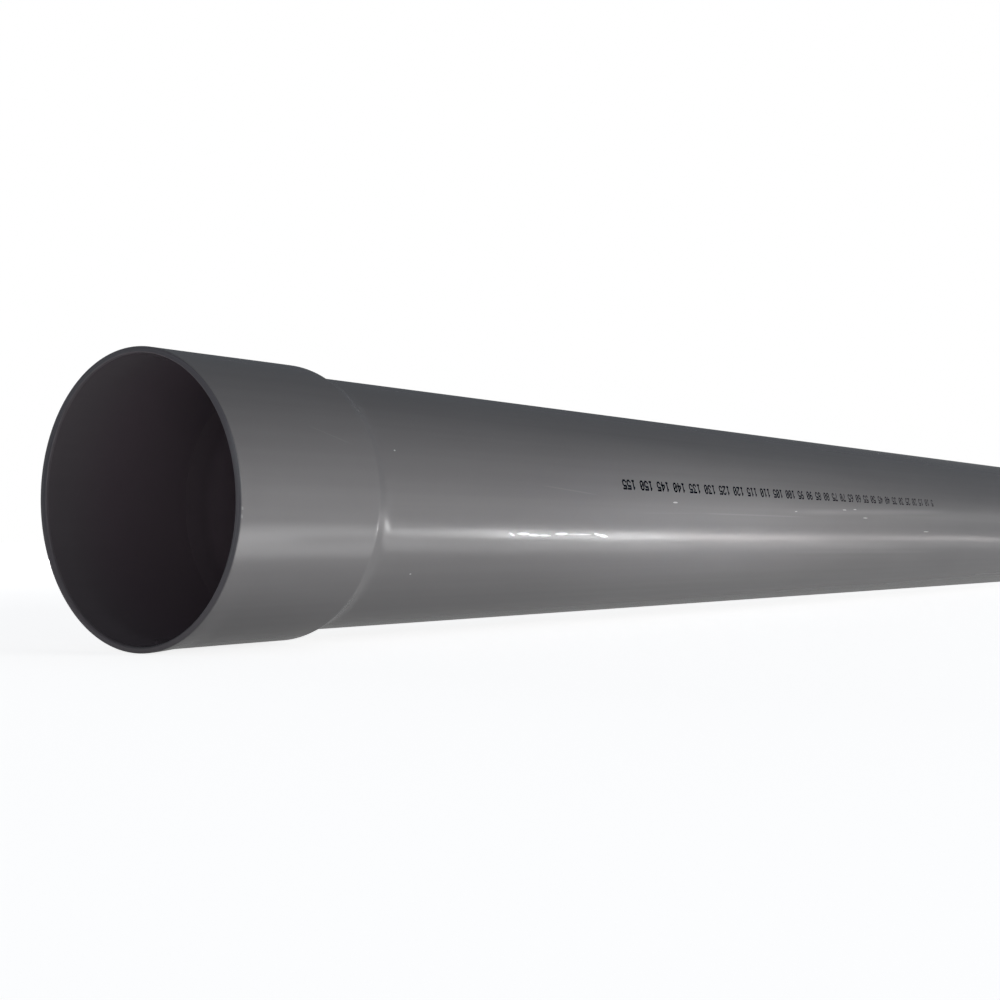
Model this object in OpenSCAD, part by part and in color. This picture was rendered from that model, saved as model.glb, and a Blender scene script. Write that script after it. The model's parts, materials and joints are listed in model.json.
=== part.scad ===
// Conduit pipe: one length of rigid plastic electrical conduit.
// One end is blown out into a bell, whose socket takes the plain end of the next length.
// The pipe lies along X: the mouth of the bell is at X = 0 and the plain end is at the far end.
// The origin is the centre of the mouth, and the bell rests at Z = -(half the bell's diameter).

/* [Pipe] */
// Outside diameter of the pipe
pipe_od = 114.3; // [113.9:0.1:114.7]
// Wall thickness of the pipe
pipe_wall = 3.4; // [2.8:0.1:5]
// Overall length, with the bell
overall_length = 3000; // [500:10:6100]

/* [Bell] */
// Gap on each side between the socket and a plain end pushed into it
socket_gap = 0.65; // [0.3:0.05:0.9]
// Wall thickness of the bell
bell_wall = 3.2; // [2.8:0.1:4.5]
// Length of the straight part of the bell, from the mouth to the shoulder
bell_straight = 77.5; // [60:0.5:120]
// Slope of the shoulder, measured from the pipe's axis
shoulder_angle = 22; // [16:1:24]
// Outside radius where the bell rolls over into the shoulder
shoulder_round = 6; // [2:0.5:8]
// Radius of the corner inside the socket, where its shoulder starts
socket_corner = 0.5; // [0.5:0.1:1]
// Outside radius of the hollow where the shoulder runs out onto the pipe
shoulder_hollow = 24; // [6:1:26]

/* [Ends] */
// Size of the broken edge round the outside of the mouth
mouth_break = 0.3; // [0.1:0.1:0.6]
// Size of the bevel round the inside of the mouth, which leads a pipe into the socket
lead_in = 0.8; // [0.3:0.1:2]
// Length of the bevel on the plain end
bevel_length = 2; // [0.5:0.5:4]
// Depth of the bevel on the plain end
bevel_depth = 0.8; // [0.2:0.1:2]

/* [Finish] */
// Colour of the plastic
pipe_colour = "dimgray"; // [dimgray, gray, slategray]

/* [Hidden] */
$fn = 128;
// Steps along each arc of the shoulder's section
arc_steps = 6;

pipe_r = pipe_od / 2;
bore_r = pipe_r - pipe_wall;
socket_r = pipe_r + socket_gap;
bell_r = socket_r + bell_wall;

// Section of a shoulder that falls from radius r1 at height z0 to radius r2, as [radius, height]
// points: an arc of radius roll, a straight slope, then an arc of radius hollow the other way.
function shoulder(r1, r2, z0, roll, hollow) =
    let (
        a = shoulder_angle,
        slope_run = (r1 - r2 - (roll + hollow) * (1 - cos(a))) / tan(a),
        z1 = z0 + (roll + hollow) * sin(a) + slope_run
    )
    concat(
        [for (i = [0:arc_steps]) let (t = a * i / arc_steps)
            [r1 - roll * (1 - cos(t)), z0 + roll * sin(t)]],
        [for (i = [arc_steps:-1:0]) let (t = a * i / arc_steps)
            [r2 + hollow * (1 - cos(t)), z1 - hollow * sin(t)]]
    );

function reversed(points) = [for (i = [len(points) - 1:-1:0]) points[i]];

// The outside and the inside of the wall, each from the mouth to the plain end
outside = concat(
    [[bell_r - mouth_break, 0], [bell_r, mouth_break]],
    shoulder(bell_r, pipe_r, bell_straight, shoulder_round, shoulder_hollow),
    [[pipe_r, overall_length - bevel_length], [pipe_r - bevel_depth, overall_length]]
);
inside = concat(
    [[socket_r + lead_in, 0], [socket_r, lead_in]],
    shoulder(socket_r, bore_r, bell_straight, socket_corner, shoulder_hollow + pipe_wall),
    [[bore_r, overall_length]]
);

// The whole pipe, turned round its axis in one piece
module conduit_pipe() {
    color(pipe_colour)
        rotate([0, 90, 0])
            rotate_extrude()
                polygon(concat(outside, reversed(inside)));
}

conduit_pipe();
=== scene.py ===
"""Conduit pipe: a length of rigid grey plastic conduit with a bell at one end, lying on a pale studio floor.

The pipe lies along X with the mouth of its bell at X = 0. An angle round the pipe is measured from its top,
a quarter turn reaching the side at -Y, where the print runs, and half a turn the bottom.
"""
import json
import math

import bpy
import numpy as np
from bpy.props import FloatProperty, FloatVectorProperty, IntProperty, PointerProperty
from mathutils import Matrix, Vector


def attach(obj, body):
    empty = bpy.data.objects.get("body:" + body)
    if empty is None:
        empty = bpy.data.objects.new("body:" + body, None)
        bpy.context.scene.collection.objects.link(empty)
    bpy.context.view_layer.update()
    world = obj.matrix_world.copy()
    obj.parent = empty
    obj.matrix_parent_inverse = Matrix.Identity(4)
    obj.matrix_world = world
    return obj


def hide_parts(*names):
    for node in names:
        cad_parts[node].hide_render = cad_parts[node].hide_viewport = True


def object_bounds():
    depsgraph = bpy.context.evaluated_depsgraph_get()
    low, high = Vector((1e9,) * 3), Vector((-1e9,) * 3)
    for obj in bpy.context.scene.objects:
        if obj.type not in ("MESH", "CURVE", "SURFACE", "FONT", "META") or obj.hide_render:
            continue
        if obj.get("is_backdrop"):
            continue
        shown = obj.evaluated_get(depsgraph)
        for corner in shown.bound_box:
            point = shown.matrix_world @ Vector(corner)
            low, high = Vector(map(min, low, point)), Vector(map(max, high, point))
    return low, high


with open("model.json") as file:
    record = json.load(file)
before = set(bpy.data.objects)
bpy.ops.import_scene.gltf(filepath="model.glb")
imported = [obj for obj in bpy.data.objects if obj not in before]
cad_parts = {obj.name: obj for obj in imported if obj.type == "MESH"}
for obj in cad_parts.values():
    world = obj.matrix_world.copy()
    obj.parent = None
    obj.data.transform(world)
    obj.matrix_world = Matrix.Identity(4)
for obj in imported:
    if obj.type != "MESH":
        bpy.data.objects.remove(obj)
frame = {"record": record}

bl_info = {
    "name": "Conduit pipe",
    "version": (1, 0, 0),
    "blender": (4, 5, 0),
    "location": "3D View > Sidebar > Conduit",
    "description": "Builds a length of grey plastic conduit with a bell end, its number line and a studio",
    "category": "Add Mesh",
}

MM = 0.001
NODE = "conduit_pipe"
BODY = "root"
CAD_BOX = [list(corner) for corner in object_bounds()]
MOUNTS = {m["name"]: m["dims"] for m in frame["record"]["mounts"]}
LENGTH = CAD_BOX[1][0] - CAD_BOX[0][0]
BELL_R = CAD_BOX[1][2]
SOCKET_R = MOUNTS["socket"]["r_mm"] * MM
PIPE_R = MOUNTS["spigot"]["r_mm"] * MM
BORE_R = MOUNTS["cable_way"]["r_mm"] * MM
PALENESS = "paleness"


# ---------------------------------------------------------------------------------------------------------
# Sizes and colours that a user would change
# ---------------------------------------------------------------------------------------------------------

def length_property(name, description, default):
    return FloatProperty(name=name, description=description, default=default, min=0.0, unit="LENGTH",
                         precision=5)


def colour_property(name, description, default):
    return FloatVectorProperty(name=name, description=description, default=default, size=3, min=0.0, max=1.0,
                               subtype="COLOR")


class CONDUIT_PG_pipe(bpy.types.PropertyGroup):
    """Sizes of the pipe's section that the mounts don't give, and its colour"""
    bell_straight: length_property("Bell straight", "From the mouth to the start of the shoulder", 77.5 * MM)
    shoulder_angle: FloatProperty(name="Shoulder angle", description="Slope of the shoulder from the axis",
                                  default=math.radians(22), subtype="ANGLE")
    shoulder_round: length_property("Shoulder round", "Outside radius at the top of the shoulder", 6 * MM)
    socket_corner: length_property("Socket corner", "Radius inside, where the shoulder starts", 0.5 * MM)
    shoulder_hollow: length_property("Shoulder hollow", "Outside radius at the foot of the shoulder", 24 * MM)
    mouth_break: length_property("Mouth break", "Size of the broken edge outside the mouth", 0.3 * MM)
    lead_in: length_property("Lead-in", "Radius of the rounded edge inside the mouth", 0.8 * MM)
    mouth_oval: length_property("Mouth oval", "How far the mouth is out of round, each way", 0.87 * MM)
    oval_angle: FloatProperty(name="Oval angle", description="Where the mouth is widest, from its top",
                              default=math.radians(142), subtype="ANGLE")
    bore_oval: length_property("Bore oval", "How much taller than round the bore is at the mouth", 0.65 * MM)
    mouth_flare: length_property("Mouth flare", "How far the lip is spread on one side", 0.85 * MM)
    flare_angle: FloatProperty(name="Flare angle", description="Where the lip is spread most, from its top",
                               default=math.radians(196), subtype="ANGLE")
    flare_depth: length_property("Flare depth", "How far into the bell the spread lip reaches", 15 * MM)
    bevel_length: length_property("Bevel length", "Length of the bevel on the plain end", 2 * MM)
    bevel_depth: length_property("Bevel depth", "Depth of the bevel on the plain end", 0.8 * MM)
    around: IntProperty(name="Around", description="Steps round the pipe", default=256, min=32)
    plastic: colour_property("Plastic", "Colour of the grey plastic", (0.168, 0.1635, 0.166))
    bore: colour_property("Bore", "Colour of the plastic inside", (0.175, 0.142, 0.165))
    # The sawn end is lighter below and darker above, and its third colour is a patch of painted light
    cut_end: colour_property("Cut end", "Colour of the sawn end where it is clean", (0.180, 0.158, 0.172))
    soiled_end: colour_property("Soiled end", "Colour of the sawn end's dirt", (0.113, 0.108, 0.122))
    scraped_end: colour_property("Scraped end", "Colour of its scraped patch", (0.170, 0.173, 0.185))


class CONDUIT_PG_print(bpy.types.PropertyGroup):
    """The line of counting numbers on the side of the pipe"""
    start: length_property("Start", "From the mouth to the near end of the line", 281 * MM)
    end: length_property("End", "From the mouth to the far end of the line", 750 * MM)
    angle: FloatProperty(name="Angle", description="Where the line runs, from the top of the pipe",
                         default=math.radians(76.6), subtype="ANGLE")
    dot_pitch: length_property("Dot pitch", "Distance between two dots", 0.76 * MM)
    dot_size: length_property("Dot size", "Width of one dot", 1.3 * MM)
    worn: FloatProperty(name="Worn", description="How much of a dot's width is lost by the far end",
                        default=0.3, min=0.0, max=0.9)
    step: IntProperty(name="Step", description="Difference from one number to the next", default=5, min=1)
    ink: colour_property("Ink", "Colour of the ink", (0.003, 0.003, 0.006))


class CONDUIT_PG_flecks(bpy.types.PropertyGroup):
    """The pale dried specks on the plain length, and white streaks along its shine that are a painted
    highlight
    """
    rise: length_property("Rise", "How far a speck stands above the pipe", 0.04 * MM)
    grey: colour_property("Grey", "Colour of the dullest specks", (0.25, 0.245, 0.24))
    # White is the colour of the streaks of painted highlight
    white: colour_property("White", "Colour of the palest streaks", (0.95, 0.95, 0.95))


class CONDUIT_PG_studio(bpy.types.PropertyGroup):
    """The camera, the floor and the level of the light"""
    focal_length: FloatProperty(name="Focal length", description="Focal length of the lens", default=52.545,
                                min=1.0, unit="CAMERA")
    floor_grey: FloatProperty(name="Floor grey", description="How much light the floor returns",
                              default=0.8, min=0.0, max=1.0)
    floor_glow: FloatProperty(name="Floor glow", description="How much of the floor's white is its own",
                              default=0.8, min=0.0, max=1.0)


# ---------------------------------------------------------------------------------------------------------
# Finish of the plastic, the marks on it, and the light, shade, highlights and reflections painted on it
# ---------------------------------------------------------------------------------------------------------

# The span that most of a noise's values lie in
NOISE = (0.3, 0.7)
# Cells a metre along X, Y and Z: draw lines run along the pipe, and clouds are longer than they are wide
DRAW_LINES = (3.0, 260.0, 260.0)
CLOUDS = (9.0, 30.0, 30.0)
# Cells a metre of the specks' grain and of the ink's patches
GRAIN = 900.0
PATCHES = 220.0
# How far the draw lines, the clouds and the specks' grain change the tone, each way
LINE_TONE = 0.015
CLOUD_TONE = 0.02
GRAIN_TONE = 0.06
# Height of the surface's slight waves, and the roughness that the draw lines vary between
WAVE_HEIGHT = 0.05 * MM
SHEEN = (0.24, 0.26)
# How far past the start of the shoulder the wall's middle has come down to the plain length's, and how far
# either side of that middle the outside and the inside blend
SHOULDER_REACH = 13 * MM
WALL_BLEND = 0.3 * MM
# The spans along the pipe of the tones inside, from the mouth or, for the stop's edge, from the stop, and
# how much darker or lighter than the bore's own colour two of them are: painted shade on the slope of the
# socket's stop and painted light past it
MOUTH_REACH = (5 * MM, 40 * MM)
STOP_EDGE = (-0.2 * MM, 0.4 * MM)
PAINTED_STOP_SHADE = 0.75
PAST_STOP = (84 * MM, 95 * MM)
PAINTED_DEEP_LIGHT = 1.4
# The sawn end: how deep its colour and its matt finish go, how much rougher it is, which way it is darker,
# which way its patch of painted light lies, and the share of the bell's radius that the patch starts at
SAWN_DEPTH = (0.02 * MM, 0.12 * MM)
MATT_DEPTH = (0.2 * MM, 1.5 * MM)
MATT_SAWN = 0.35
DARKER_SIDE = (0.0, -0.26, 0.97)
PAINTED_LIGHT_SIDE = (0.0, -0.97, 0.26)
PAINTED_LIGHT_FROM = 0.93
# How far the ink stands above the pipe, and the span of noise over which it is thin
INK_RISE = 0.02 * MM
THIN_INK = (0.45, 0.75)
# Each row: start and end along the pipe in mm, start and end angle, width in mm, strength
SCRATCHES_AND_PAINTED_REFLECTIONS = [
    (-0.6, 1.0, 94.3, 94.7, 1.6, 0.9),
    (-0.6, 0.9, 97.0, 97.6, 2.2, 0.6),
    (42, 68, 60.5, 68.5, 0.7, 0.16),
    (201, 258, 79.4, 83.3, 0.9, 0.16),
    (290, 366, 91.9, 91.0, 1.0, 0.07),
    (354, 520, 90.9, 91.1, 1.2, 0.15),
    # These two rows are painted reflections: broad light bands along the far part of the pipe
    (460, 800, 88.6, 82.8, 6.0, 0.20),
    (460, 800, 114.8, 116.6, 3.5, 0.08),
]
# Each row: start and end along the pipe in mm, start and end angle, width in mm, paleness
FLECKS_AND_PAINTED_HIGHLIGHT = [
    # The first eight rows, white and lying along the shine, are a painted highlight; the rest are dried
    # specks
    (177.9, 183.4, 103.3, 104.8, 1.2, 1.0),
    (184.6, 196.0, 103.7, 103.8, 1.2, 1.0),
    (193.5, 205.0, 104.1, 104.5, 1.1, 1.0),
    (202.0, 214.4, 104.4, 104.6, 1.0, 1.0),
    (217.0, 229.0, 103.7, 103.6, 1.25, 1.0),
    (226.0, 251.5, 103.8, 103.9, 0.8, 0.7),
    (252.9, 260.0, 103.4, 104.3, 1.2, 1.0),
    (257.5, 267.1, 104.1, 105.0, 1.5, 1.0),
    (333.0, 338.5, 85.3, 85.3, 0.9, 0.08),
    (492.0, 496.0, 87.7, 87.7, 0.6, 0.0),
    (569.5, 576.0, 85.3, 85.3, 0.6, 0.12),
    (588.0, 594.0, 84.7, 84.7, 0.6, 0.1),
    (605.0, 613.0, 90.4, 90.4, 0.6, 0.08),
    (727.0, 738.0, 99.6, 99.6, 0.6, 0.08),
    (97.1, 98.3, 67.2, 67.2, 0.7, 0.3),
    (114.1, 115.3, 123.7, 123.7, 0.7, 0.25),
]

# ---------------------------------------------------------------------------------------------------------
# Stage
# ---------------------------------------------------------------------------------------------------------

WHITE = (1.0, 1.0, 1.0)
BLACK = (0.0, 0.0, 0.0)
PINK = (1.0, 0.95, 0.94)
# The dim room's colour and how bright it is
ROOM = (0.92, 1.0, 1.12)
ROOM_LEVEL = 0.118
# Half the floor's width, and the span of distance over which its white becomes all its own
FLOOR_HALF = 40.0
FLOOR_FADE = (0.5, 3.0)
# How much of the white a glossy surface sees: the floor's, the low backdrop's and the far band's
MIRRORED_FLOOR = 0.31
MIRRORED_BACKDROP = 0.53
MIRRORED_FAR = 0.3
# The spans over which those fade, as the height or the share along the pipe of a direction 1 long
BACKDROP_TOP = (0.06, 0.14)
FAR_TOP = (0.10, 0.25)
FAR_SIDE = (0.85, 0.93)
STRAIGHT_ALONG = (0.95, 0.98)
# The camera's place from the centre of the mouth, its tilt up from straight down, and its turn from +Y
CAMERA_PLACE = (-383.9 * MM, -462.6 * MM, -17.5 * MM)
CAMERA_TILT = math.radians(91.648)
CAMERA_TURN = math.radians(-53.735)
# Each row: name, centre, the point it faces, size, power in watts, colour
LAMPS = [
    ("front", (1.0, -2.6, 0.45), (1.0, 0.0, 0.0), (1.2, 1.0), 27.5, WHITE),
    ("left", (-2.0, -1.7, 0.45), (0.1, 0.0, 0.0), (1.6, 1.0), 6.3, WHITE),
    ("back", (1.5, 2.6, 0.12), (1.5, 0.0, 0.0), (3.0, 0.3), 55.0, WHITE),
]
# Low lights beside the pipe, facing up from just above the floor, which its side mirrors as one long soft
# line. Each row: from, to, distance from the axis, width, power in watts, colour
LOW_LIGHT_LIFT = 2 * MM
LOW_LIGHTS = [
    (-0.25, 0.02, 0.150, 0.100, 0.221, WHITE),
    (0.04, 0.11, 0.110, 0.030, 0.014, WHITE),
    (0.11, 0.21, 0.108, 0.030, 0.017, WHITE),
    (0.04, 0.12, 0.152, 0.050, 0.046, WHITE),
    (0.12, 0.21, 0.170, 0.054, 0.049, WHITE),
    (0.04, 0.21, 0.220, 0.080, 0.030, WHITE),
    (0.21, 0.27, 0.147, 0.014, 0.035, WHITE),
    (0.27, 0.295, 0.144, 0.014, 0.016, WHITE),
    (0.295, 0.36, 0.144, 0.014, 0.080, WHITE),
    (0.36, 0.50, 0.138, 0.014, 0.132, WHITE),
    (0.50, 0.60, 0.136, 0.016, 0.055, PINK),
    (0.60, 0.72, 0.136, 0.016, 0.045, PINK),
    (0.72, 1.25, 0.137, 0.014, 0.088, PINK),
    (0.21, 0.45, 0.100, 0.020, 0.023, WHITE),
    (0.45, 0.80, 0.100, 0.020, 0.020, WHITE),
    (0.80, 1.30, 0.100, 0.020, 0.013, WHITE),
]


# ---------------------------------------------------------------------------------------------------------
# Shader nodes
# ---------------------------------------------------------------------------------------------------------

class Value:
    """One number that a node puts out. Arithmetic on it adds Math nodes."""

    def __init__(self, nodes, socket):
        self.nodes = nodes
        self.socket = socket

    def math(self, operation, *others):
        return self.nodes.add("ShaderNodeMath", {"operation": operation},
                              dict(enumerate((self, *others))))

    def __abs__(self):
        return self.math("ABSOLUTE")

    def __add__(self, other):
        return self.math("ADD", other)

    __radd__ = __add__

    def __mul__(self, other):
        return self.math("MULTIPLY", other)

    __rmul__ = __mul__

    def __sub__(self, other):
        return self.math("SUBTRACT", other)

    def __rsub__(self, other):
        return self.nodes.add("ShaderNodeMath", {"operation": "SUBTRACT"}, {0: other, 1: self})


class Nodes:
    """The nodes of one material or world."""

    def __init__(self, owner):
        owner.use_nodes = True
        self.tree = owner.node_tree
        self.tree.nodes.clear()

    def add(self, kind, settings=None, inputs=None, output=0):
        """A node of this kind. Settings come first, then the values or links of its sockets, which are named
        or numbered. Gives back one output, by name or number."""
        node = self.tree.nodes.new(kind)
        for name, setting in (settings or {}).items():
            setattr(node, name, setting)
        for name, value in (inputs or {}).items():
            socket = self.find(node.inputs, name)
            if isinstance(value, Value):
                self.tree.links.new(value.socket, socket)
            else:
                socket.default_value = value
        return Value(self, self.find(node.outputs, output)) if node.outputs else None

    @staticmethod
    def find(sockets, name):
        return sockets[name] if isinstance(name, int) else next(
            s for s in sockets if s.name == name and s.enabled)

    def span(self, value, low, high, to_low=0.0, to_high=1.0):
        """value carried smoothly from the span low..high to the span to_low..to_high, and held outside it"""
        return self.add("ShaderNodeMapRange", {"interpolation_type": "SMOOTHSTEP"}, {
            "Value": value, "From Min": low, "From Max": high, "To Min": to_low, "To Max": to_high})

    def toward(self, place, direction):
        """How far a place lies in a direction"""
        return self.add("ShaderNodeVectorMath", {"operation": "DOT_PRODUCT"}, {0: place, 1: direction},
                        "Value")

    def blend(self, factor, first, second):
        """A colour between two colours"""
        return self.add("ShaderNodeMix", {"data_type": "RGBA"}, {"Factor": factor, "A": first, "B": second},
                        "Result")


def rgba(colour, scale=1.0):
    return (*[c * scale for c in colour], 1.0)


# ---------------------------------------------------------------------------------------------------------
# Materials
# ---------------------------------------------------------------------------------------------------------

def pipe_places(nodes):
    """Where a point lies on the pipe, both in metres: along it from the mouth, and round it from the top
    towards the side that carries the print"""
    place = nodes.add("ShaderNodeTexCoord", output="Object")
    split = {"Vector": place}
    along = nodes.add("ShaderNodeSeparateXYZ", inputs=split, output="X")
    side = nodes.add("ShaderNodeSeparateXYZ", inputs=split, output="Y")
    height = nodes.add("ShaderNodeSeparateXYZ", inputs=split, output="Z")
    return place, along, (0 - side).math("ARCTAN2", height) * PIPE_R


def streak(nodes, along, around, start, end, start_angle, end_angle, width):
    """A thin straight mark, 1 on its middle line and 0 from half its width away, which fades over a quarter
    of its length at each end. It runs from start to end along the pipe while its angle from the top goes
    between two angles."""
    near, far = PIPE_R * math.radians(start_angle), PIPE_R * math.radians(end_angle)
    slant = (far - near) / (end - start)
    off = abs(around - ((along - start) * slant + near))
    taper = (end - start) / 4
    inside = nodes.span(along, start, start + taper) * nodes.span(along, end - taper, end, 1.0, 0.0)
    return nodes.span(off, 0.0, width / 2, 1.0, 0.0) * inside


def marks(nodes, along, around, table):
    """The marks of a table added up: each row has its place, its width, all in millimetres and degrees,
    and its strength"""
    total = 0.0
    for start, end, start_angle, end_angle, width, strength in table:
        mark = streak(nodes, along, around, start * MM, end * MM, start_angle, end_angle, width * MM)
        total = total + strength * mark
    return total


def pattern(nodes, place, cells, detail):
    """Soft noise with so many cells a metre along X, Y and Z"""
    scaled = nodes.add("ShaderNodeMapping", inputs={"Vector": place, "Scale": cells})
    return nodes.add("ShaderNodeTexNoise", inputs={"Vector": scaled, "Scale": 1.0, "Detail": detail})


def outer_side(nodes, pipe, place, along):
    """1 on the outside of the wall and 0 on its inside, told apart by the distance from the axis: the wall's
    middle lies nearer to the axis past the bell"""
    bell_middle, pipe_middle = (SOCKET_R + BELL_R) / 2, (BORE_R + PIPE_R) / 2
    middle = nodes.span(along, pipe.bell_straight, pipe.bell_straight + SHOULDER_REACH, bell_middle,
                        pipe_middle)
    off_axis = nodes.add("ShaderNodeMapping", inputs={"Vector": place, "Scale": (0.0, 1.0, 1.0)})
    radius = nodes.add("ShaderNodeVectorMath", {"operation": "LENGTH"}, {0: off_axis}, "Value")
    return nodes.span(radius - middle, -WALL_BLEND, WALL_BLEND)


def bore_colour(nodes, pipe, along, plain):
    """The colour inside: half like the outside at the mouth, warmer within, darkest on the slope of the
    socket's stop as painted shade, and lightest past it as painted light"""
    stop = pipe.bell_straight
    # Painted shade on the slope of the socket's stop, and painted light past the stop
    past_edge = nodes.span(along, stop + STOP_EDGE[0], stop + STOP_EDGE[1])
    painted_stop_shade = nodes.blend(past_edge, rgba(pipe.bore), rgba(pipe.bore, PAINTED_STOP_SHADE))
    painted_shade_and_light = nodes.blend(nodes.span(along, *PAST_STOP), painted_stop_shade, rgba(pipe.bore, PAINTED_DEEP_LIGHT))
    return nodes.blend(nodes.span(along, *MOUTH_REACH, 0.5, 1.0), plain, painted_shade_and_light)


def sawn_colour(nodes, pipe, place):
    """The colour of the sawn end: lighter below, darker above, and a patch of painted light on the print's
    side
    """
    upward = nodes.span(nodes.toward(place, DARKER_SIDE), -BELL_R, 0.0)
    # A patch of painted light near the outer edge, on the print's side
    painted_light = nodes.span(nodes.toward(place, PAINTED_LIGHT_SIDE), PAINTED_LIGHT_FROM * BELL_R, BELL_R)
    darker_above = nodes.blend(upward, rgba(pipe.cut_end), rgba(pipe.soiled_end))
    return nodes.blend(painted_light, darker_above, rgba(pipe.scraped_end))


def grey_plastic(pipe):
    """Extruded grey plastic with a soft shine: faint draw lines, cloudy tone, handling scratches and two
    broad bands of painted reflection along the far part, which move its tone between half and one and a half
    times its colour. The sawn end is nearly matt."""
    material = bpy.data.materials.new("grey_plastic")
    nodes = Nodes(material)
    place, along, around = pipe_places(nodes)
    lines = pattern(nodes, place, DRAW_LINES, 2.0)
    cloud = pattern(nodes, place, CLOUDS, 3.0)
    line_tone = nodes.span(lines, *NOISE, -LINE_TONE, LINE_TONE)
    cloud_tone = nodes.span(cloud, *NOISE, -CLOUD_TONE, CLOUD_TONE)
    # The draw lines, the clouds, the scratches and two bands of painted reflection, as changes of tone
    worn = line_tone + cloud_tone + marks(nodes, along, around, SCRATCHES_AND_PAINTED_REFLECTIONS)
    plain = nodes.blend(worn + 0.5, rgba(pipe.plastic, 0.5), rgba(pipe.plastic, 1.5))
    outer = outer_side(nodes, pipe, place, along)
    walls = nodes.blend(outer, bore_colour(nodes, pipe, along, plain), plain)
    colour = nodes.blend(nodes.span(along, *SAWN_DEPTH, 1.0, 0.0), walls, sawn_colour(nodes, pipe, place))
    matt = (1 - outer) * nodes.span(along, *MATT_DEPTH, 1.0, 0.0)
    waves = nodes.add("ShaderNodeBump", inputs={"Strength": 1.0, "Distance": WAVE_HEIGHT, "Height": cloud})
    shader = nodes.add("ShaderNodeBsdfPrincipled", {"distribution": "MULTI_GGX"}, {
        "Base Color": colour,
        "Roughness": nodes.span(lines, *NOISE, *SHEEN) + matt * MATT_SAWN,
        "IOR": 1.5,
        "Normal": waves,
    })
    nodes.add("ShaderNodeOutputMaterial", inputs={"Surface": shader})
    return material


def pale_marks(flecks):
    """Pale dried specks, and white streaks that are a painted highlight, from grey to white by their own
    paleness
    """
    material = bpy.data.materials.new("pale_marks")
    nodes = Nodes(material)
    place = nodes.add("ShaderNodeTexCoord", output="Object")
    grain = nodes.add("ShaderNodeTexNoise", inputs={"Vector": place, "Scale": GRAIN})
    paleness = nodes.add("ShaderNodeAttribute", {"attribute_name": PALENESS}, output="Fac")
    shader = nodes.add("ShaderNodeBsdfPrincipled", inputs={
        "Base Color": nodes.blend(paleness + nodes.span(grain, *NOISE, -GRAIN_TONE, GRAIN_TONE),
                                  rgba(flecks.grey), rgba(flecks.white)),
        "Roughness": 0.5,
    })
    nodes.add("ShaderNodeOutputMaterial", inputs={"Surface": shader})
    return material


def print_ink(ink):
    """Dried ink with no shine, a little thinner in places."""
    material = bpy.data.materials.new("print_ink")
    nodes = Nodes(material)
    place = nodes.add("ShaderNodeTexCoord", output="Object")
    patches = nodes.add("ShaderNodeTexNoise", inputs={"Vector": place, "Scale": PATCHES, "Detail": 2.0})
    shader = nodes.add("ShaderNodeBsdfPrincipled", inputs={
        "Base Color": nodes.blend(nodes.span(patches, *THIN_INK), rgba(ink), rgba(ink, 2.0)),
        "Roughness": 0.6,
        "Specular IOR Level": 0.0,
    })
    nodes.add("ShaderNodeOutputMaterial", inputs={"Surface": shader})
    return material


def pale_floor(studio):
    """A white floor that still takes the pipe's shadow. Part of its white is its own, for what looks at it
    directly, through glass or in a reflection, and part is the light that falls on it. Far off, where little
    light falls, all of it is its own."""
    material = bpy.data.materials.new("pale_floor")
    nodes = Nodes(material)
    place = nodes.add("ShaderNodeTexCoord", output="Object")
    distance = nodes.add("ShaderNodeVectorMath", {"operation": "LENGTH"}, {0: place}, "Value")
    glow = nodes.span(distance, *FLOOR_FADE, studio.floor_glow, 1.0)
    white = nodes.blend(glow * seen(nodes, MIRRORED_FLOOR), rgba(BLACK), rgba(WHITE))
    lit = nodes.add("ShaderNodeBsdfDiffuse", inputs={"Color": rgba(WHITE, studio.floor_grey)})
    own = nodes.add("ShaderNodeEmission", inputs={"Color": white, "Strength": 1.0})
    shader = nodes.add("ShaderNodeAddShader", inputs={0: lit, 1: own})
    nodes.add("ShaderNodeOutputMaterial", inputs={"Surface": shader})
    return material


def seen(nodes, mirrored):
    """1 for rays that come from the camera or through glass, this share for rays from a glossy surface, and
    0 for rays that light a matt surface"""
    direct = nodes.add("ShaderNodeLightPath", output="Is Camera Ray")
    through = nodes.add("ShaderNodeLightPath", output="Is Transmission Ray")
    glossy = nodes.add("ShaderNodeLightPath", output="Is Glossy Ray")
    return direct.math("MAXIMUM", through).math("MAXIMUM", glossy * mirrored)


# ---------------------------------------------------------------------------------------------------------
# Surfaces
# ---------------------------------------------------------------------------------------------------------

# Steps of the pipe's section
LIP_STEPS = 6
BELL_STEPS = 38
ARC_STEPS = 8
PIPE_STEPS = 160
BORE_STEPS = 60
# An edge of the section that turns by more than this stays sharp
SHARP = math.radians(20)


def mesh_piece(name, points, faces, material):
    """A mesh object at the origin, with its place in its points, riding on the pipe."""
    mesh = bpy.data.meshes.new(name)
    mesh.from_pydata(points.tolist(), [], faces.tolist())
    mesh.materials.append(material)
    mesh.update()
    piece = bpy.data.objects.new(name, mesh)
    bpy.context.scene.collection.objects.link(piece)
    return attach(piece, BODY)


def shoulder(r1, r2, x0, slope, roll, hollow):
    """The line down a shoulder from radius r1 at x0 to radius r2, as (x, radius) points.

    An arc of radius roll turns from level to the slope, a straight line follows, and an arc of radius hollow
    turns back to level. Along an arc, x grows by radius * sin(t) and the radius falls by
    radius * (1 - cos(t)), with t from nothing to the slope.
    """
    t = np.linspace(0.0, slope, ARC_STEPS + 1)
    run = (r1 - r2 - (roll + hollow) * (1 - math.cos(slope))) / math.tan(slope)
    x1 = x0 + (roll + hollow) * math.sin(slope) + run
    top = np.column_stack([x0 + roll * np.sin(t), r1 - roll * (1 - np.cos(t))])
    foot = np.column_stack([x1 - hollow * np.sin(t), r2 + hollow * (1 - np.cos(t))])[::-1]
    return np.vstack([top, foot])


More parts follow.
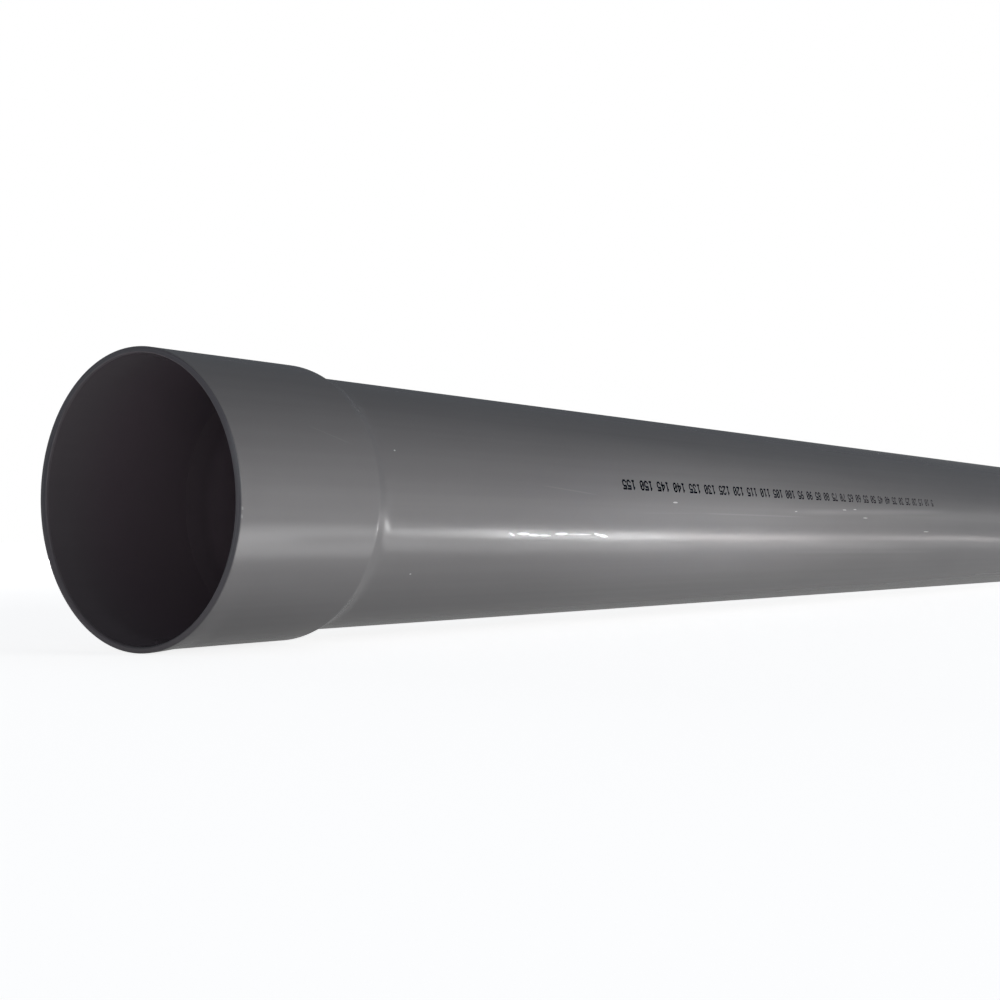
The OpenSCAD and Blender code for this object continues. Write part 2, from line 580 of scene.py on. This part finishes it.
def pipe_section(pipe):
    """The pipe's wall cut along the axis: one closed loop of (x, radius) points, out along the outside from
    the mouth to the plain end and back along the inside. The edge inside the mouth is a quarter circle from
    the face to the socket: x = lead_in (1 - cos t), radius = socket + lead_in (1 - sin t)."""
    edge = pipe.mouth_break
    slope = pipe.shoulder_angle
    start = pipe.bell_straight
    pipe_wall = PIPE_R - BORE_R
    t = np.linspace(0.0, math.pi / 2, LIP_STEPS + 1)
    out_shoulder = shoulder(BELL_R, PIPE_R, start, slope, pipe.shoulder_round, pipe.shoulder_hollow)
    in_shoulder = shoulder(SOCKET_R, BORE_R, start, slope, pipe.socket_corner,
                           pipe.shoulder_hollow + pipe_wall)

    def level(x_from, x_to, radius, steps):
        x = np.linspace(x_from, x_to, steps + 2)[1:-1]
        return np.column_stack([x, np.full(steps, radius)])

    outside = np.vstack([
        [[0.0, BELL_R - edge], [edge, BELL_R]],
        level(edge, start, BELL_R, BELL_STEPS),
        out_shoulder,
        level(out_shoulder[-1, 0], LENGTH - pipe.bevel_length, PIPE_R, PIPE_STEPS),
        [[LENGTH - pipe.bevel_length, PIPE_R], [LENGTH, PIPE_R - pipe.bevel_depth]],
    ])
    inside = np.vstack([
        np.column_stack([pipe.lead_in * (1 - np.cos(t)), SOCKET_R + pipe.lead_in * (1 - np.sin(t))]),
        level(pipe.lead_in, start, SOCKET_R, BELL_STEPS),
        in_shoulder,
        level(in_shoulder[-1, 0], LENGTH, BORE_R, BORE_STEPS),
        [[LENGTH, BORE_R]],
    ])
    return np.vstack([outside, inside[::-1]])


def turned(section, pipe):
    """The closed section carried round the axis: at the angle a from the top, a point of the section at
    (x, r) stands at (x, -r' sin a, r' cos a). Both ways round are closed.

    The mouth isn't quite round: r' = r + oval (cos 2(a - oval_angle) - cos 2 oval_angle) +
    flare (1 + cos(a - flare_angle)) / 2, and inside the wall's middle also + bore_oval cos 2a. Each size
    falls as a cosine from its full value at x = 0, the oval to nothing at the end of the bell's straight part
    and the others to nothing at the depth of the flare.
    """
    a = np.arange(pipe.around) * math.tau / pipe.around
    x, r = section.T

    def fading(size, end):
        return size * (0.5 + 0.5 * np.cos(np.clip(x / end, 0.0, 1.0) * math.pi))[:, None]

    oval = fading(pipe.mouth_oval, pipe.bell_straight)
    flare = fading(pipe.mouth_flare, pipe.flare_depth)
    inner = fading(pipe.bore_oval, pipe.flare_depth) * (r < (SOCKET_R + BELL_R) / 2)[:, None]
    widening = np.cos(2 * (a - pipe.oval_angle)) - math.cos(2 * pipe.oval_angle)
    r = (r[:, None] + inner * np.cos(2 * a) + oval * widening
         + flare * (1 + np.cos(a - pipe.flare_angle)) / 2)
    points = np.stack([
        np.repeat(x[:, None], pipe.around, 1),
        -r * np.sin(a),
        r * np.cos(a),
    ], axis=-1).reshape(-1, 3)
    i, j = np.meshgrid(np.arange(len(section)), np.arange(pipe.around), indexing="ij")
    i2, j2 = (i + 1) % len(section), (j + 1) % pipe.around
    corners = [row * pipe.around + column for row, column in ((i, j), (i, j2), (i2, j2), (i2, j))]
    return points, np.stack(corners, axis=-1).reshape(-1, 4)


# ---------------------------------------------------------------------------------------------------------
# Printed numbers
# ---------------------------------------------------------------------------------------------------------

DIGITS = {
    "0": (" ### ", "#   #", "#  ##", "# # #", "##  #", "#   #", " ### "),
    "1": ("  #  ", " ##  ", "  #  ", "  #  ", "  #  ", "  #  ", " ### "),
    "2": (" ### ", "#   #", "    #", "   # ", "  #  ", " #   ", "#####"),
    "3": ("#####", "   # ", "  #  ", "   # ", "    #", "#   #", " ### "),
    "4": ("   # ", "  ## ", " # # ", "#  # ", "#####", "   # ", "   # "),
    "5": ("#####", "#    ", "#### ", "    #", "    #", "#   #", " ### "),
    "6": ("  ## ", " #   ", "#    ", "#### ", "#   #", "#   #", " ### "),
    "7": ("#####", "    #", "   # ", "  #  ", " #   ", " #   ", " #   "),
    "8": (" ### ", "#   #", "#   #", " ### ", "#   #", "#   #", " ### "),
    "9": (" ### ", "#   #", "#   #", " ####", "    #", "   # ", " ##  "),
}
DIGIT_COLUMNS, DIGIT_ROWS = 5, 7
DROP_SIDES = 10


def counting_line(characters, step):
    """Counting numbers with a space between, as long as fits in so many characters"""
    line, number = "", step
    while len(line) + len(str(number)) <= characters:
        line += f"{number} "
        number += step
    return line.rstrip()


def dot_places(line):
    """Where the line's dots stand, in dots: how far along the line, and how far down from its top"""
    places = [
        (character * (DIGIT_COLUMNS + 1) + column, row)
        for character, digit in enumerate(line)
        if digit in DIGITS
        for row, cells in enumerate(DIGITS[digit])
        for column, cell in enumerate(cells)
        if cell == "#"
    ]
    return np.array(places, float)


def drops(centres, sizes, tilts, rise):
    """Flat oval drops on the plain length: each is a ring of points round its centre, and one point above
    and one below it. Before it is laid on, the ring is (length cos t, width sin t) / 2, turned by its tilt.
    A point at (x, arc) on the unrolled side stands at the angle arc / R round the pipe, at radius R for the
    ring, and rise above or below R for the two middle points."""
    sides = DROP_SIDES
    t = np.arange(sides) * math.tau / sides
    along, across = np.stack([np.cos(t), np.sin(t)])[:, None] * sizes.T[:, :, None] / 2
    cos, sin = np.cos(tilts)[:, None], np.sin(tilts)[:, None]
    ring = np.stack([along * cos - across * sin, along * sin + across * cos], axis=-1)
    middles = np.repeat(centres[:, None], 2, axis=1)
    flat = np.concatenate([centres[:, None] + ring, middles], axis=1)
    lift = np.concatenate([np.zeros(sides), [rise, -rise]])
    x, arc = flat[..., 0], flat[..., 1]
    r = PIPE_R + lift
    a = arc / PIPE_R
    points = np.stack([x, -r * np.sin(a), r * np.cos(a)], axis=-1).reshape(-1, 3)
    corner = np.arange(sides)
    following = (corner + 1) % sides
    above = np.column_stack([corner, following, np.full(sides, sides)])
    below = np.column_stack([following, corner, np.full(sides, sides + 1)])
    drop = np.vstack([above, below])
    starts = np.arange(len(centres)) * (sides + 2)
    return points, (drop[None] + starts[:, None, None]).reshape(-1, 3)


# ---------------------------------------------------------------------------------------------------------
# Operators
# ---------------------------------------------------------------------------------------------------------

class CONDUIT_OT_pipe(bpy.types.Operator):
    """Build the pipe's surface in place of the plain one"""
    bl_idname = "conduit.pipe"
    bl_label = "Pipe"

    def execute(self, context):
        pipe = context.scene.conduit_pipe
        points, faces = turned(pipe_section(pipe), pipe)
        piece = mesh_piece("pipe_wall", points, faces, grey_plastic(pipe))
        piece.data.shade_smooth()
        piece.data.set_sharp_from_angle(angle=SHARP)
        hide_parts(NODE)
        return {"FINISHED"}


class CONDUIT_OT_number_line(bpy.types.Operator):
    """Print the line of counting numbers on the side of the pipe"""
    bl_idname = "conduit.number_line"
    bl_label = "Number line"

    def execute(self, context):
        numbers = context.scene.conduit_print
        pitch = numbers.dot_pitch
        length = numbers.end - numbers.start
        line = counting_line(round(length / pitch / (DIGIT_COLUMNS + 1)), numbers.step)
        places = dot_places(line)
        x = numbers.end - places[:, 0] * pitch
        arc = PIPE_R * numbers.angle + ((DIGIT_ROWS - 1) / 2 - places[:, 1]) * pitch
        centres = np.column_stack([x, arc])
        left = 1 - numbers.worn * (x - numbers.start) / length
        sizes = np.column_stack([numbers.dot_size * left] * 2)
        points, faces = drops(centres, sizes, np.zeros(len(centres)), INK_RISE)
        mesh_piece("number_line", points, faces, print_ink(numbers.ink))
        return {"FINISHED"}


class CONDUIT_OT_flecks(bpy.types.Operator):
    """Put the pale dried specks, and the white streaks of painted highlight, on the pipe"""
    bl_idname = "conduit.flecks"
    bl_label = "Flecks"

    def execute(self, context):
        flecks = context.scene.conduit_flecks
        start, end, start_angle, end_angle, width, paleness = np.array(FLECKS_AND_PAINTED_HIGHLIGHT, float).T
        ends = np.array([[start * MM, np.radians(start_angle) * PIPE_R],
                         [end * MM, np.radians(end_angle) * PIPE_R]])
        run, climb = ends[1] - ends[0]
        sizes = np.column_stack([np.hypot(run, climb), width * MM])
        points, faces = drops(ends.mean(axis=0).T, sizes, np.arctan2(climb, run), flecks.rise)
        # The specks and the white streaks of painted highlight, as one piece
        piece = mesh_piece("flecks", points, faces, pale_marks(flecks))
        shades = piece.data.attributes.new(PALENESS, "FLOAT", "POINT")
        shades.data.foreach_set("value", np.repeat(paleness, len(points) // len(paleness)))
        return {"FINISHED"}


class CONDUIT_OT_studio(bpy.types.Operator):
    """Add the floor, the light and the camera"""
    bl_idname = "conduit.studio"
    bl_label = "Studio"

    def execute(self, context):
        studio = context.scene.conduit_studio
        floor_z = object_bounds()[0][2]
        self.add_floor(studio, floor_z)
        self.add_world(context.scene)
        self.add_lamps(floor_z)
        self.add_camera(context.scene, studio)
        context.scene.view_settings.view_transform = "Standard"
        return {"FINISHED"}

    def add_floor(self, studio, floor_z):
        mesh = bpy.data.meshes.new("floor")
        signs = ((-1, -1), (1, -1), (1, 1), (-1, 1))
        corners = [(x * FLOOR_HALF, y * FLOOR_HALF, floor_z) for x, y in signs]
        mesh.from_pydata(corners, [], [(0, 1, 2, 3)])
        mesh.materials.append(pale_floor(studio))
        floor = bpy.data.objects.new("floor", mesh)
        bpy.context.scene.collection.objects.link(floor)
        floor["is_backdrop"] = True

    def add_world(self, scene):
        """White wherever the camera looks. Glossy surfaces see a share of the white low down, where a
        backdrop would stand, and some more beyond the far end, but none straight along the pipe, and the
        dim room elsewhere. Matt surfaces get the dim room alone."""
        world = bpy.data.worlds.new("studio")
        scene.world = world
        nodes = Nodes(world)
        direction = nodes.add("ShaderNodeTexCoord", output="Generated")
        height = nodes.add("ShaderNodeSeparateXYZ", inputs={"Vector": direction}, output="Z")
        onward = nodes.add("ShaderNodeSeparateXYZ", inputs={"Vector": direction}, output="X")
        room = nodes.add("ShaderNodeBackground", inputs={"Color": rgba(ROOM), "Strength": ROOM_LEVEL})
        white = nodes.add("ShaderNodeBackground", inputs={"Color": rgba(WHITE), "Strength": 1.0})
        low_band = nodes.span(height, *BACKDROP_TOP, MIRRORED_BACKDROP, 0.0)
        far_band = nodes.span(height, *FAR_TOP, MIRRORED_FAR, 0.0) * nodes.span(onward, *FAR_SIDE)
        share = seen(nodes, (low_band + far_band) * nodes.span(onward, *STRAIGHT_ALONG, 1.0, 0.0))
        shader = nodes.add("ShaderNodeMixShader", inputs={0: share, 1: room, 2: white})
        nodes.add("ShaderNodeOutputWorld", inputs={"Surface": shader})

    def add_lamps(self, floor_z):
        for row in LAMPS:
            self.add_lamp(*row)
        low = floor_z + LOW_LIGHT_LIFT
        for number, (start, end, off, width, power, colour) in enumerate(LOW_LIGHTS, 1):
            middle = (start + end) / 2
            self.add_lamp(f"low_light_{number}", (middle, -off, low), (middle, -off, 1.0),
                          (end - start, width), power, colour)

    def add_lamp(self, name, centre, aim, size, power, colour):
        data = bpy.data.lights.new(name, "AREA")
        data.shape = "RECTANGLE"
        data.size, data.size_y = size
        data.energy = power
        data.color = colour
        lamp = bpy.data.objects.new(name, data)
        lamp.location = centre
        lamp.rotation_mode = "QUATERNION"
        lamp.rotation_quaternion = (Vector(aim) - Vector(centre)).to_track_quat("-Z", "Y")
        lamp.visible_camera = False
        bpy.context.scene.collection.objects.link(lamp)

    def add_camera(self, scene, studio):
        data = bpy.data.cameras.new("camera")
        data.lens = studio.focal_length
        camera = bpy.data.objects.new("camera", data)
        camera.location = CAMERA_PLACE
        camera.rotation_euler = (CAMERA_TILT, 0.0, CAMERA_TURN)
        scene.collection.objects.link(camera)
        scene.camera = camera


class CONDUIT_PT_panel(bpy.types.Panel):
    """Lists the sizes and the steps that build the pipe"""
    bl_idname = "CONDUIT_PT_panel"
    bl_label = "Conduit pipe"
    bl_space_type = "VIEW_3D"
    bl_region_type = "UI"
    bl_category = "Conduit"

    def draw(self, context):
        for group, operator in STEPS:
            box = self.layout.box()
            settings = getattr(context.scene, group)
            for name in settings.__annotations__:
                box.prop(settings, name)
            box.operator(operator)


GROUPS = {
    "conduit_pipe": CONDUIT_PG_pipe,
    "conduit_print": CONDUIT_PG_print,
    "conduit_flecks": CONDUIT_PG_flecks,
    "conduit_studio": CONDUIT_PG_studio,
}
STEPS = [
    ("conduit_pipe", "conduit.pipe"),
    ("conduit_print", "conduit.number_line"),
    ("conduit_flecks", "conduit.flecks"),
    ("conduit_studio", "conduit.studio"),
]
CLASSES = [*GROUPS.values(), CONDUIT_OT_pipe, CONDUIT_OT_number_line, CONDUIT_OT_flecks, CONDUIT_OT_studio,
           CONDUIT_PT_panel]


def register():
    for cls in CLASSES:
        bpy.utils.register_class(cls)
    for name, group in GROUPS.items():
        setattr(bpy.types.Scene, name, PointerProperty(type=group))


def unregister():
    for name in GROUPS:
        delattr(bpy.types.Scene, name)
    for cls in reversed(CLASSES):
        bpy.utils.unregister_class(cls)


def main():
    register()
    bpy.ops.conduit.pipe()
    bpy.ops.conduit.number_line()
    bpy.ops.conduit.flecks()
    bpy.ops.conduit.studio()
    bpy.context.view_layer.update()


if __name__ == "__main__":
    main()
